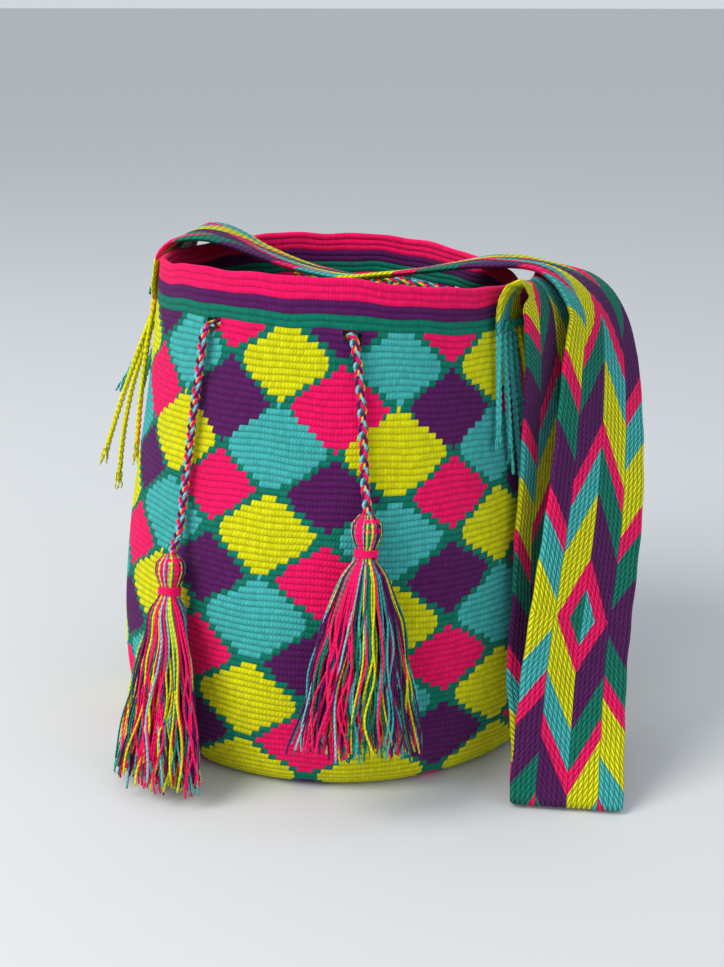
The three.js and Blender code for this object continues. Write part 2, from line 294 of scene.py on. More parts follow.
def yarnMaterial(name, settings, colour=None):
    material, tree, shader = startMaterial(name, settings)
    calc = calculator(tree)
    around, along = mappedUv(tree, settings["plies"], 1000 / settings["pitch"])
    turn = calc("MULTIPLY", calc("FRACT", calc("ADD", around, along)), math.pi)
    ply = calc("POWER", calc("SINE", turn), 0.6)
    fuzz = noise(tree, settings["fuzzScale"])
    height = calc("ADD", ply, calc("MULTIPLY", fuzz, settings["fuzz"]))
    patches = noise(tree, 90, 2)
    variation = calc("ADD", calc("MULTIPLY", patches, settings["unevenness"]), 1 - settings["unevenness"] / 2)
    if colour is None:
        tinted = tree.nodes.new("ShaderNodeAttribute")
        tinted.attribute_name = "tint"
        base = tinted.outputs["Color"]
    else:
        base = tree.nodes.new("ShaderNodeRGB").outputs[0]
        base.default_value = yarnColours[colour] + (1,)
    # painted shade darkens each groove between the plies of the yarn
    tree.links.new(shaded(tree, base, ply, settings["grooveShadeStrength"], variation), shader.inputs["Base Color"])
    addBump(tree, shader, height, settings["bump"])
    return material


# the wall of the bag: a plan that is round at the base and an oval at the mouth
wallShape = {
    "profile": [(134, 0), (143, 5), (149, 18), (151.5, 45), (150, 88), (145, 138), (138.5, 185),
                (131, 235), (123.5, 285), (120, 314.5)],  # half width and height
    "height": 314.5,
    "thickness": 4,
    "depthAtBase": 0.98,
    "depthAtMouth": 0.86,
    "eyeletHeight": 283.2,
}


def profileTable(points):
    points = np.asarray(points, float)
    chain = np.vstack([points[:1], points, points[-1:]])
    spans = [hermite(b, c, (c - a) / 2, (d - b) / 2, 60) for a, b, c, d in zip(chain, chain[1:], chain[2:], chain[3:])]
    return np.vstack(spans + [points[-1:]])


wallTable = profileTable(wallShape["profile"])


def rimLift(angle):
    return -4.5 * np.cos(angle) - 3 * np.sin(angle) - 4.3 * np.cos(2 * angle) - 1.1 * np.sin(2 * angle)


def depthRatio(z):
    share = smoothstep(z, 20, 330)
    return wallShape["depthAtBase"] + (wallShape["depthAtMouth"] - wallShape["depthAtBase"]) * share


def wallPoint(angle, z, offset):
    angle, z, offset = np.broadcast_arrays(np.asarray(angle, float), z, offset)
    half = np.interp(z, wallTable[:, 1], wallTable[:, 0])
    lift = rimLift(angle) * (z / wallShape["height"]) ** 3
    return np.stack([(half + offset) * np.cos(angle), (half * depthRatio(z) + offset) * np.sin(angle), z + lift], axis=-1)


# drawstring: three strands of two yarns each, braided
drawstringSettings = {
    "diameter": 6.5,
    "tailLeft": [(-61.5, -133.8, 148.2), (-59.8, -126, 160), (-58.5, -120.5, 183), (-56.5, -115.5, 208),
                 (-54, -111.5, 235), (-51.5, -108, 257), (-49.6, -106.2, 272)],
    "tailRight": [(52.4, -104.2, 270), (54.6, -105.9, 256), (57, -108.8, 238), (59.5, -112.8, 217),
                  (61.5, -116.8, 200), (66.1, -125.4, 187.2)],
    "leftExit": 248,  # degrees
    "rightExit": -67,
    "dashCentres": (50, 130),  # degrees, where it shows outside at the back
    "dashHalf": 10,
    "clearance": 0.9,
    "insideHead": 25,  # how far each end goes into its tassel
    "braidPitch": 14,
    "braidHalfWidth": 1.75,
    "braidHalfDepth": 1.15,
    "yarnRadius": 0.98,
    "yarnSpread": 0.8,
    "yarns": (("pink", "purple"), ("yellow", "pink"), ("green", "lightBlue")),
}

tasselSettings = {
    "profile": [(4, 0), (8.6, 2.6), (10.6, 9), (9, 16), (5.6, 20), (5.6, 26), (14.5, 37), (25, 64), (33, 106), (39, 146)],
    "frontFlatness": 0.6,
    "backFlatness": 0.24,  # the side against the wall
    "left": {"top": (-61.8, -134.7, 147), "foot": (-57, -171.5, 4), "outward": (-0.42, -0.9, 0), "seed": 5,
             "groups": ("pink", "green", "purple", "yellow", "pink", "turquoise", "purple",
                        "pink", "yellow", "pink", "pink", "purple", "yellow", "turquoise")},
    "right": {"top": (66.5, -126.3, 186), "foot": (71.5, -157.5, 40), "outward": (0.4, -0.92, 0), "seed": 11,
              "groups": ("purple", "pink", "yellow", "pink", "green", "pink", "turquoise",
                         "yellow", "purple", "yellow", "green", "pink", "pink", "purple")},
    "outerStrands": 80,
    "innerStrands": 250,
    "strandRadius": 0.68,
    "colours": (("pink", 0.36), ("purple", 0.16), ("turquoise", 0.12), ("yellow", 0.15), ("green", 0.13), ("lightBlue", 0.08)),
}


def weave(degrees):
    share = 0.0
    for centre in drawstringSettings["dashCentres"]:
        away = abs(degrees - centre) - drawstringSettings["dashHalf"]
        share = max(share, 1 - float(smoothstep(away, -4, 4)))
    clear = drawstringSettings["diameter"] / 2 + drawstringSettings["clearance"]
    return -wallShape["thickness"] - clear + share * (wallShape["thickness"] + 2 * clear)


def drawstringRoute():
    settings = drawstringSettings
    outside = settings["diameter"] / 2 + settings["clearance"]
    level = wallShape["eyeletHeight"]
    inWall = -wallShape["thickness"] / 2
    route = [wallPoint(math.radians(settings["leftExit"]), level - 3.5, outside),
             wallPoint(math.radians(settings["leftExit"] + 0.8), level, inWall)]
    route += [wallPoint(math.radians(degrees), level, weave(degrees)) for degrees in range(253, -74, -4)]
    route += [wallPoint(math.radians(settings["rightExit"] - 0.8), level, inWall),
              wallPoint(math.radians(settings["rightExit"]), level - 3.5, outside)]
    ends = []
    for side in ("left", "right"):
        top = np.array(tasselSettings[side]["top"])
        axis = unit(np.array(tasselSettings[side]["foot"]) - top)
        ends.append([top + axis * settings["insideHead"], top + axis * settings["insideHead"] * 0.4])
    route = ends[0] + [np.array(p) for p in settings["tailLeft"]] + route
    route += [np.array(p) for p in settings["tailRight"]] + ends[1][::-1]
    return evenly(curveThrough(route, 16), 1.6)


def makeDrawstring():
    settings = drawstringSettings
    route = drawstringRoute()
    reference = unit(route * np.array([1, 1, 0]))
    side, up = framesAlong(route, reference)
    phase = 2 * math.pi * lengthsAlong(route) / settings["braidPitch"]
    bundle = newBundle()
    for index, pair in enumerate(settings["yarns"]):
        turn = phase + 2 * math.pi * index / 3
        for place, colour in zip((-1, 1), pair):
            across = settings["braidHalfWidth"] * np.sin(turn) + place * settings["yarnSpread"] * np.cos(0.5 * turn) ** 2
            over = settings["braidHalfDepth"] * np.sin(2 * turn) + place * settings["yarnSpread"] * np.sin(0.5 * turn) ** 2
            path = route + across[:, None] * side + over[:, None] * up
            addTube(bundle, path, settings["yarnRadius"], reference, 6, yarnColours[colour])
    piece = makePiece("drawstringBraid", bundle, braidYarn, ["drawstring"], "drawstring_braid")
    return piece, route * toMetres


# the groove value is the strength of painted shade between the plies
strandYarnSettings = {"roughness": 0.85, "specular": 0.15, "sheen": 0.06, "plies": 2, "pitch": 3.4, "bump": 0.0003,
                      "fuzz": 0.35, "fuzzScale": 2600, "grooveShadeStrength": 0.35, "unevenness": 0.25}
braidYarn = yarnMaterial("braidYarn", strandYarnSettings)
drawstring, drawstringPath = makeDrawstring()

# fringe: the strap's twisted yarn ends beside the wall
fringeSettings = {
    "diameter": 4,
    "plyRadius": 1.3,
    "plyOffset": 0.8,
    "twist": 10,
    "rise": 2.5,  # the cords start this far up inside the band
    "frayed": 16,  # loose fibres at the end
    "halfStrap": 35,
    "left": {
        "station": (-129.5, 14, 284, -0.05, 1, 0),
        "cords": [(-0.88, 118, 1, 7, 2, "yellow"), (-0.62, 124, 0, 38, 2, "yellow"), (-0.36, 148, -1, 32, 8, "yellow"),
                  (-0.1, 78, -1, 46, 0, "turquoise"), (0.16, 88, 0, 36, 2, "turquoise"), (0.44, 100, 2, 24, 3, "yellow")],
    },
    "right": {
        "station": (127.5, -6.5, 280, 0.2, 0.98, 0),
        "cords": [(-0.92, 70, -4, 3.5, 0, "turquoise"), (-0.73, 88, -2.5, 3.5, 0, "turquoise"),
                  (-0.54, 118, -1.5, 3.5, 0, "turquoise"), (-0.35, 78, 0, 3.5, 0, "turquoise"),
                  (-0.18, 98, 1, 6, 2, "yellow"), (-0.01, 66, 2, 8, 2, "yellow"), (0.16, 58, 4, 11, 2, "yellow"),
                  (0.34, 52, 6, 14, 2, "yellow")],
    },
}


def fringeRoute(station, place, length, drift, endOffset, bulge):
    across = unit(station[3:])
    start = np.array(station[:3]) + across * place * fringeSettings["halfStrap"]
    angle = math.atan2(start[1] / float(depthRatio(start[2])), start[0])
    lift = float(rimLift(angle)) * (start[2] / wallShape["height"]) ** 3
    height = start[2] + fringeSettings["rise"] - lift
    wall = wallPoint(angle, height, 0)
    standing = math.hypot(start[0], start[1]) - math.hypot(wall[0], wall[1])
    points = []
    for i in range(7):
        t = i / 6
        offset = standing + (endOffset - standing) * t + bulge * math.sin(math.pi * t)
        points.append(wallPoint(angle + math.radians(drift) * t, height - (length + 5) * t, offset))
    return curveThrough(points, 24)


def makeFringeCord(side, index, values, material, slotName):
    place, length, drift, endOffset, bulge, colour = values
    settings = fringeSettings
    route = evenly(fringeRoute(settings[side]["station"], place, length, drift, endOffset, bulge), 1.5)
    dice = random.Random(31 * index + (7 if side == "left" else 3))
    total = lengthsAlong(route)
    whole = total <= total[-1] - settings["frayed"]
    reference = np.array((0.3, 0.95, 0.0)) if side == "left" else np.array((0.95, 0.3, 0.0))
    frontVector, upVector = framesAlong(route, reference)
    bundle = newBundle()
    turn = 2 * math.pi * total / settings["twist"]
    for ply in (0, math.pi):
        swing = settings["plyOffset"] * (np.cos(turn + ply)[:, None] * frontVector + np.sin(turn + ply)[:, None] * upVector)
        addTube(bundle, (route + swing)[whole], settings["plyRadius"], reference, 7)
    fray = total >= total[-1] - settings["frayed"] - 4
    share = (total[fray] - total[fray][0]) / settings["frayed"]
    for fibre in range(9):
        heading = dice.uniform(0, 2 * math.pi)
        reach = dice.uniform(0.8, 3.1)
        kink = dice.uniform(2, 5)
        away = 0.9 + (reach - 0.9) * share + 0.5 * np.sin(kink * share * 3 + heading)
        spread = away[:, None] * (math.cos(heading) * frontVector[fray] + math.sin(heading) * upVector[fray])
        shown = len(share) if fibre < 3 else dice.randint(9, len(share))
        addTube(bundle, (route[fray] + spread)[:shown], 0.5, reference, 5)
    name = f"{side}FringeCord{index}"
    piece = makePiece(name, bundle, material, [f"{side}_fringe_cord_{index}"], slotName)
    return piece


# the groove value is the strength of painted shade between the plies
plyYarnSettings = {"roughness": 0.85, "specular": 0.15, "sheen": 0.06, "plies": 2, "pitch": 5, "bump": 0.0004,
                   "fuzz": 0.35, "fuzzScale": 2200, "grooveShadeStrength": 0.35, "unevenness": 0.2}
fringeYarns = {
    "yellow": (yarnMaterial("yellowPly", plyYarnSettings, "yellow"), "fringe_yellow"),
    "turquoise": (yarnMaterial("turquoisePly", plyYarnSettings, "turquoise"), "fringe_teal"),
}
for fringeSide in ("left", "right"):
    for number, cordValues in enumerate(fringeSettings[fringeSide]["cords"], 1):
        makeFringeCord(fringeSide, number, cordValues, *fringeYarns[cordValues[-1]])


# tassels: looped strands bound at the neck
def tasselFrame(place):
    top = np.array(place["top"], float)
    axis = unit(np.array(place["foot"]) - top)
    side = unit(np.cross(axis, place["outward"]))
    return top, axis, side, unit(np.cross(side, axis))


def tasselPoints(place, down, radius, angle):
    top, axis, side, front = tasselFrame(place)
    flatness = np.where(np.sin(angle) > 0, tasselSettings["backFlatness"], tasselSettings["frontFlatness"])
    flat = 1 + (flatness - 1) * smoothstep(down, 28, 56)
    down, radius, angle, flat = np.broadcast_arrays(down, radius, angle, flat)
    return (top + axis * down[:, None] + side * (radius * np.cos(angle))[:, None]
            - front * (radius * flat * np.sin(angle))[:, None])


def strandColour(dice, groups, angle):
    group = groups[int(angle / (2 * math.pi) * len(groups)) % len(groups)]
    if dice.random() < 0.5:
        return group
    pick = dice.random() * sum(share for _, share in tasselSettings["colours"])
    for name, share in tasselSettings["colours"]:
        pick -= share
        if pick <= 0:
            return name
    return "pink"


def makeTassel(sideName):
    settings = tasselSettings
    place = settings[sideName]
    dice = random.Random(place["seed"])
    radii, downs = np.array(settings["profile"], float).T
    outward = np.array(place["outward"])
    groups = place["groups"]  # colours round the tassel, from its left side along the back
    bundle = newBundle()

    def strand(start, end, angle, depth, tilt, colour):
        down = np.linspace(start, end, 26)
        outer = np.interp(down, downs, radii) - settings["strandRadius"]
        share = smoothstep(down, 30, 110)
        tip = smoothstep(down, 90, 150)
        wave = 1.9 * share * np.sin(down / dice.uniform(7, 15) + dice.uniform(0, 6.3))
        wave += dice.uniform(-3.5, 5) * tip
        drift = angle + tilt * share + 0.1 * np.sin(down / dice.uniform(8, 20) + dice.uniform(0, 6.3)) * share
        path = tasselPoints(place, down, np.maximum(outer * depth + wave, 0), drift)
        path[:, 2] = np.maximum(path[:, 2], 1.0)
        addTube(bundle, path, settings["strandRadius"] * dice.uniform(0.85, 1.1), outward, 5, yarnColours[colour])

    for index in range(settings["outerStrands"]):
        angle = 2 * math.pi * (index + dice.uniform(-0.35, 0.35)) / settings["outerStrands"]
        end = 146 + dice.uniform(-13, 3)
        strand(0.6, end, angle, dice.uniform(0.88, 1.0), dice.uniform(-0.22, 0.22), strandColour(dice, groups, angle))
    for index in range(settings["innerStrands"]):
        angle = dice.uniform(0, 2 * math.pi)
        end = 146 + dice.uniform(-16, 3)
        strand(21, end, angle, math.sqrt(dice.random()) * 0.95, dice.uniform(-0.3, 0.3), strandColour(dice, groups, angle))
    core = np.linspace(0.5, 32, 12)  # filling of the head
    ring = np.linspace(0, 2 * math.pi, 20, endpoint=False)
    grid = np.stack([tasselPoints(place, np.full(20, d), np.interp(d, downs, radii) - 1.4, ring) for d in core])
    around = np.broadcast_to(np.linspace(0, 1, 21)[None, :], (12, 21))
    addGrid(bundle, grid, np.stack([around, np.broadcast_to(core[:, None] / 1000, (12, 21))], axis=-1), yarnColours["pink"])
    return makePiece(f"{sideName}Tassel", bundle, strandYarn, [f"{sideName}_tassel"], "tassel_yarn")


bindingSettings = {"turns": 3.6, "yarnRadius": 0.95, "from": 21, "to": 26, "radius": 6.5}


def makeBinding(sideName):
    settings = bindingSettings
    place = tasselSettings[sideName]
    share = np.linspace(0, 1, 150)
    down = settings["from"] + (settings["to"] - settings["from"]) * share
    path = tasselPoints(place, down, np.full(150, settings["radius"]), 2 * math.pi * settings["turns"] * share % (2 * math.pi))
    bundle = newBundle()
    axis = tasselFrame(place)[1]
    addTube(bundle, path, settings["yarnRadius"], axis, 8)
    return makePiece(f"{sideName}TasselBinding", bundle, bindingYarn, [f"{sideName}_tassel_binding"], "binding_yarn")


strandYarn = yarnMaterial("strandYarn", strandYarnSettings)
bindingYarn = yarnMaterial("bindingYarn", dict(plyYarnSettings, pitch=3.5), "pink")
hangers = [maker(sideName) for sideName in ("left", "right") for maker in (makeTassel, makeBinding)]
drawstringLength = lengthsAlong(drawstringPath)[-1]
print("drawstring length", round(drawstringLength, 4))
tuple(drawstringPath[0])

# crocheted body
crochetSettings = {
    "segments": 200,
    "rowHeight": 4,
    "stitches": 363,
    "seam": 93.5,  # degrees
    "ridge": 0.42,
    "rimRadius": 2.5,
    "eyeletRows": (7, 8.67),
    "eyelets": ((-111.2, 2.6), (-67.8, 2.6), (40, 4.2), (60, 4.2), (120, 4.2), (140, 4.2)),  # middle and half width, degrees
    "mapRows": 120,
    "evenSizes": (0.46, 0.52, 0.49, 0.51, 0.49, 0.5),  # yellow and turquoise lozenges, from the rim down
    "oddSizes": (0.45, 0.48, 0.425, 0.42, 0.42, 0.44, 0.44),  # pink and purple ones
}


def heightAtRow(row):
    down = wallTable[::-1]
    lengths = lengthsAlong(down)
    return np.interp(row * crochetSettings["rowHeight"], lengths, down[:, 1])


def wallRings():
    # (row, height, offset, scale): scale closes the base
    settings = crochetSettings
    thickness = wallShape["thickness"]
    lowest = lengthsAlong(wallTable)[-1] / settings["rowHeight"]

    def relief(row):
        return -settings["ridge"] * (1 - abs(math.sin(math.pi * row)) ** 0.5)

    outer = []
    for radius in range(6, 134, 5):
        outer.append((lowest + (134 - radius) / 4, 0.0, 0.0, radius / 134))
    for row in np.arange(int(lowest * 3), 1, -1) / 3:
        outer.append((row, float(heightAtRow(row)), relief(row), 1))
    rim = []
    for degrees in (20, 55, 90, 125, 160):
        offset = -thickness / 2 + settings["rimRadius"] * math.cos(math.radians(degrees))
        rim.append((0.3, 312.5 + settings["rimRadius"] * math.sin(math.radians(degrees)), offset, 1))
    inner = []
    for row in list(np.arange(2, 36) / 3) + list(range(12, 79)):
        inner.append((row, max(float(heightAtRow(row)), 5.0), -thickness - relief(row), 1))
    for scale in (0.93, 0.8, 0.6, 0.4, 0.2, 0.05):
        inner.append((lowest + (1 - scale) * 33, 4.0, -thickness, scale))
    return outer, rim, inner


def dents(angle, z):
    calm = smoothstep(z, 4, 40) * (1 - smoothstep(z, 225, 270))
    slow = 0.9 * np.sin(3 * angle + 1.1 + z / 60) + 0.7 * np.sin(5 * angle - 2 - z / 41) + 0.4 * np.sin(9 * angle + z / 23)
    return slow * calm


def sagging(angle, z):
    # rows of stitches aren't quite level
    slow = 0.6 * np.sin(7 * angle + z / 31) + 0.45 * np.sin(13 * angle - z / 19 + 2) + 0.3 * np.sin(23 * angle + z / 11)
    return slow * smoothstep(z, 3, 25)


def makeBody():
    settings = crochetSettings
    around = settings["segments"]
    outer, rim, inner = wallRings()
    rings = outer + rim + inner
    degrees = settings["seam"] - 360 + 360 * np.arange(around) / around
    angle = np.radians(degrees)
    grid = []
    for row, z, offset, scale in rings:
        ring = wallPoint(angle, z, offset + dents(angle, z))
        ring[:, 2] += sagging(angle, z)
        ring[:, :2] *= scale
        grid.append(ring)
    grid = np.stack(grid)
    rows = np.array([ring[0] for ring in rings])
    across = np.linspace(0, 1, around + 1)
    uvs = np.stack(np.broadcast_arrays(across[None, :], rows[:, None] / settings["mapRows"]), axis=-1)

    # eyelets: cells left out of the outer and inner walls, and the edges joined
    first, last = settings["eyeletRows"]
    middle = degrees + 180 / around
    open_ = np.any([np.abs((middle - eyelet + 180) % 360 - 180) < half for eyelet, half in settings["eyelets"]], axis=0)
    low, high = len(outer), len(outer) + len(rim)
    cell = np.zeros((len(rings) - 1, around), bool)
    pairs = {}
    for i in range(len(rings) - 1):
        inWall = i + 1 < low or i >= high
        if inWall and rings[i][3] == 1 and rings[i + 1][3] == 1 and first - 0.01 < min(rows[i], rows[i + 1]) and max(rows[i], rows[i + 1]) < last + 0.01:
            cell[i] = open_
            for ring in (i, i + 1):
                pairs.setdefault(round(rows[ring] * 3), {})["outer" if i < low else "inner"] = ring
    bundle = newBundle()
    i, j = np.nonzero(~cell)
    k = (j + 1) % around
    quads = np.stack([i * around + j, i * around + k, (i + 1) * around + k, (i + 1) * around + j], axis=-1)
    bundle["faces"] = quads.tolist()
    bundle["uvs"].append(np.stack([uvs[i, j], uvs[i, j + 1], uvs[i + 1, j + 1], uvs[i + 1, j]], axis=1).reshape(-1, 2))

    levels = sorted(pairs)

    def join(a, b, c, d, j):
        bundle["faces"].append([a, b, c, d])
        bundle["uvs"].append(np.tile([[j / around, first / settings["mapRows"]]], (4, 1)))

    for j in np.nonzero(open_)[0]:
        k = (j + 1) % around
        for level, flip in ((levels[0], False), (levels[-1], True)):
            o, n = pairs[level]["outer"] * around, pairs[level]["inner"] * around
            quad = [o + j, o + k, n + k, n + j]
            join(*(quad[::-1] if flip else quad), j)
        for edge, neighbour, flip in ((j, j - 1, True), (k, k, False)):
            if not open_[neighbour % around]:
                for upper, lower in zip(levels, levels[1:]):
                    a, b = pairs[upper]["outer"] * around + edge, pairs[lower]["outer"] * around + edge
                    c, d = pairs[lower]["inner"] * around + edge, pairs[upper]["inner"] * around + edge
                    join(*((a, b, c, d) if not flip else (d, c, b, a)), j)
    total = len(rings) * around
    for centre, ring, flip in ((total, 0, True), (total + 1, len(rings) - 1, False)):
        for j in range(around):
            fan = [centre, ring * around + j, ring * around + (j + 1) % around]
            bundle["faces"].append(fan[::-1] if flip else fan)
            bundle["uvs"].append(np.array([[j / around, 0.95]] * 3))
    bundle["points"] = [grid.reshape(-1, 3), np.array([[0, 0, 0], [0, 0, 4.0]])]
    bundle["tints"] = [np.ones((total + 2, 3))]
    return makePiece("bagBody", bundle, crochetYarn(), ["bag_body"], "bag_crochet")


def crochetYarn():
    settings = crochetSettings
    material, tree, shader = startMaterial("crochetYarn", {"roughness": 0.9, "specular": 0.12, "sheen": 0.04})
    calc = calculator(tree)
    stitch, row = mappedUv(tree, settings["stitches"], settings["mapRows"])
    rowPart = calc("FRACT", row)
    stitch = calc("ADD", stitch, calc("MULTIPLY", rowPart, 0.4))
    stitchPart = calc("FRACT", stitch)
    column = calc("ADD", calc("FLOOR", stitch), 0.5)
    line = calc("ADD", calc("FLOOR", row), 0.5)

    # lozenge pattern: each repeat is 33 stitches wide and 26 rows high
    y = calc("DIVIDE", calc("SUBTRACT", line, 12), 13)
    turned = calc("ADD", calc("MULTIPLY", column, 360 / settings["stitches"]), calc("SUBTRACT", calc("MULTIPLY", y, 1.6), 180))
    x = calc("DIVIDE", turned, 360 / 11)
    nearX, nearY = calc("ROUND", x), calc("ROUND", y)

    def wrapped(value):  # a lozenge on the seam keeps one colour
        return calc("SUBTRACT", calc("MODULO", calc("ADD", value, 16), 11), 5)

    fromX = calc("ABSOLUTE", calc("SUBTRACT", x, nearX))
    fromY = calc("ABSOLUTE", calc("SUBTRACT", y, nearY))
    evenBlunt = calc("MAXIMUM", calc("SUBTRACT", calc("SUBTRACT", fromX, fromY), 0.22), 0)
    evenAway = calc("ADD", calc("ADD", fromX, fromY), calc("MULTIPLY", evenBlunt, 0.35))
    oddX = calc("SUBTRACT", 0.5, fromX)
    oddY = calc("SUBTRACT", 0.5, fromY)
    oddBlunt = calc("MAXIMUM", calc("SUBTRACT", calc("SUBTRACT", oddX, oddY), 0.16), 0)
    oddAway = calc("ADD", calc("ADD", oddX, oddY), calc("MULTIPLY", oddBlunt, 0.3))
    evenSize = steppedValues(tree, nearY, settings["evenSizes"])
    oddSize = steppedValues(tree, calc("ADD", calc("FLOOR", y), 1), settings["oddSizes"])
    evenKind = calc("MODULO", calc("ADD", calc("ADD", wrapped(nearX), nearY), 100), 2)
    oddKind = calc("MODULO", calc("ADD", calc("ADD", wrapped(calc("FLOOR", x)), calc("FLOOR", y)), 100), 2)
    evenKind = calc("MULTIPLY", evenKind, calc("LESS_THAN", y, 4.5))
    evenColour = mixColours(tree, evenKind, yarnColours["yellow"], yarnColours["turquoise"])
    oddColour = mixColours(tree, oddKind, yarnColours["pink"], yarnColours["purple"])
    colour = mixColours(tree, calc("LESS_THAN", evenAway, evenSize), yarnColours["green"], evenColour)
    colour = mixColours(tree, calc("LESS_THAN", oddAway, oddSize), colour, oddColour)

    # plain rings on the rim and the base
    mapped = calc("DIVIDE", calc("ADD", calc("FLOOR", row), 0.5), settings["mapRows"])
    rings = [(0, "pink"), (3 / 120, "purple"), (5 / 120, "green"), (80 / 120, "yellow"), (84 / 120, "green"),
             (86 / 120, "pink"), (92 / 120, "green"), (94 / 120, "turquoise"), (101 / 120, "green"), (103 / 120, "purple")]
    plain = steppedColours(tree, mapped, rings)
    isPlain = calc("MAXIMUM", calc("LESS_THAN", row, 7), calc("GREATER_THAN", row, 81.5))
    colour = mixColours(tree, isPlain, colour, plain)

    rowRidge = calc("POWER", calc("SINE", calc("MULTIPLY", rowPart, math.pi)), 0.6)
    stitchRidge = calc("POWER", calc("SINE", calc("MULTIPLY", stitchPart, math.pi)), 0.5)
    legs = calc("ABSOLUTE", calc("SINE", calc("MULTIPLY", stitchPart, 2 * math.pi)))
    stitchHeight = calc("ADD", calc("MULTIPLY", stitchRidge, 0.45), calc("MULTIPLY", legs, 0.12))
    height = calc("MULTIPLY", rowRidge, calc("ADD", stitchHeight, 0.43))
    fuzz = noise(tree, 900, 4, 0.75)
    proud = calc("MULTIPLY", cellNoise(tree, line, column), 0.3)
    fine = calc("ADD", calc("ADD", height, proud), calc("MULTIPLY", fuzz, 0.7))
    stitchLevel = calc("MULTIPLY", cellNoise(tree, column, line), 0.2)
    patches = calc("MULTIPLY", noise(tree, 28, 2), 0.2)
    variation = calc("ADD", calc("ADD", stitchLevel, patches), 0.80)
    # painted shade darkens each groove between rows and between stitches
    tree.links.new(shaded(tree, colour, height, 0.34, variation), shader.inputs["Base Color"])
    addBump(tree, shader, fine, 0.0010)
    return material


makeBody()

# shoulder strap: twenty-two cords side by side, worked in bands that meet at an eye
strapSettings = {
    "width": 70,
    "length": 1040,  # of the flat band
    "thickness": 4,
    "cords": 22,
    "samplesPerCord": 4,
    "step": 3.2,
    "bulge": 0.55,
    "eyeHeight": 107.5,
    "zoneEdge": 0.5,  # half of each side
    "bands": (("yellow", 34), ("turquoise", 24), ("pink", 14), ("purple", 34), ("green", 24), ("pink", 14)),
    "mapLength": 1200,
    "route": [
        (-129.5, 14, 284, -0.05, 1, 0), (-128.5, 14, 298, -0.05, 1, 0), (-126, 14, 312, -0.06, 1, 0),
        (-119.5, 15, 320.5, -0.08, 1, 0), (-111, 16.5, 325, -0.14, 0.99, 0.02), (-97, 19.5, 325, -0.17, 0.98, -0.02),
        (-82, 22.5, 320, -0.18, 0.98, -0.07), (-68, 25, 313.5, -0.17, 0.98, -0.12), (-34, 28.5, 302.5, -0.12, 0.98, -0.16),
        (-2, 31.5, 298, -0.09, 0.98, -0.16), (31, 34, 302, -0.07, 0.98, -0.15), (64, 35, 308, -0.04, 0.99, -0.1),
        (98, 35, 314, 0, 1, -0.06), (139, 33, 311, 0.18, 0.97, -0.16), (159, 31, 299.5, 0.25, 0.96, -0.1),
        (170.5, 27, 283.5, 0.32, 0.94, -0.08), (175.5, 18.5, 264, 0.47, 0.88, -0.09), (182.5, -10, 217, 0.65, 0.75, -0.13),
        (186, -34.5, 170, 0.75, 0.65, -0.13), (186, -73, 86, 0.83, 0.55, -0.1), (188.5, -93, 42, 0.9, 0.43, -0.06),
        (191, -108, 9, 0.96, 0.27, 0), (191.3, -109.5, 5.3, 0.97, 0.24, 0), (190.6, -106.4, 2.7, 0.97, 0.24, 0),
        (189.9, -103, 5.4, 0.97, 0.24, 0), (189, -99.5, 11, 0.96, 0.27, 0), (184, -84, 41, 0.93, 0.37, 0),
        (171, -59, 68, 0.72, 0.7, 0), (162.5, -42, 96, 0.5, 0.87, 0), (156, -29, 131, 0.4, 0.92, 0),
        (152.5, -16, 170, 0.36, 0.93, 0), (151.5, -7, 216, 0.36, 0.93, 0), (150, -3, 252, 0.33, 0.94, 0),
        (147.5, -2, 277, 0.29, 0.96, 0), (144, -2.5, 295, 0.24, 0.97, 0), (138, -3, 305.5, 0.18, 0.98, 0),
        (131.8, -4, 309, 0.15, 0.99, 0), (127.6, -5.5, 301, 0.18, 0.98, 0), (127.5, -6.5, 280, 0.2, 0.98, 0),
    ],
}


def strapLine():
    route = np.array(strapSettings["route"], float)
    line, widths = curveThrough(route[:, :3], 30), curveThrough(route[:, 3:], 30)
    line, widths = evenly(line, strapSettings["step"], widths)
    along = unit(np.gradient(line, axis=0))
    across = unit(widths - along * np.sum(widths * along, axis=1, keepdims=True))
    return line, across, np.cross(along, across)


def makeStrap():
    settings = strapSettings
    line, across, face = strapLine()
    lengths = lengthsAlong(line)
    falling = np.nonzero((line[:-1, 2] > settings["eyeHeight"]) & (line[1:, 2] <= settings["eyeHeight"]) & (line[1:, 0] > 180))[0][0]
    eye = float(lengths[falling])
    print("strap length", round(lengths[-1], 1), "eye at", round(eye, 1))
    count = settings["cords"] * settings["samplesPerCord"]
    place = np.linspace(-1, 1, count + 1)
    bulge = settings["bulge"] * (1 - np.abs(np.sin(np.pi * settings["cords"] * (place + 1) / 2)) ** 0.6)
    half = settings["thickness"] / 2 * (1 - np.abs(place) ** 26 * 0.75) - bulge
    loop = np.concatenate([place, place[-2:0:-1]])
    rise = np.concatenate([half, -half[-2:0:-1]])
    ripple = 0.5 * np.sin(lengths / 17.0) + 0.35 * np.sin(lengths / 7.3 + 1)
    edge = 1 + 0.008 * np.sin(lengths / 5.1)
    grid = (line[:, None, :] + (settings["width"] / 2) * edge[:, None, None] * loop[None, :, None] * across[:, None, :]
            + (rise[None, :, None] + 0.3 * ripple[:, None, None] * loop[None, :, None] ** 2) * face[:, None, :])
    grid[..., 2] = np.maximum(grid[..., 2], 0.2)
    mapAcross = np.concatenate([(loop + 1) / 2, [0.0]])
    uvs = np.stack(np.broadcast_arrays(mapAcross[None, :], lengths[:, None] / settings["mapLength"]), axis=-1)
    bundle = newBundle()
    addGrid(bundle, grid, uvs)
    piece = makePiece("shoulderStrap", bundle, strapYarn(eye), ["shoulder_strap"], "strap_weave")


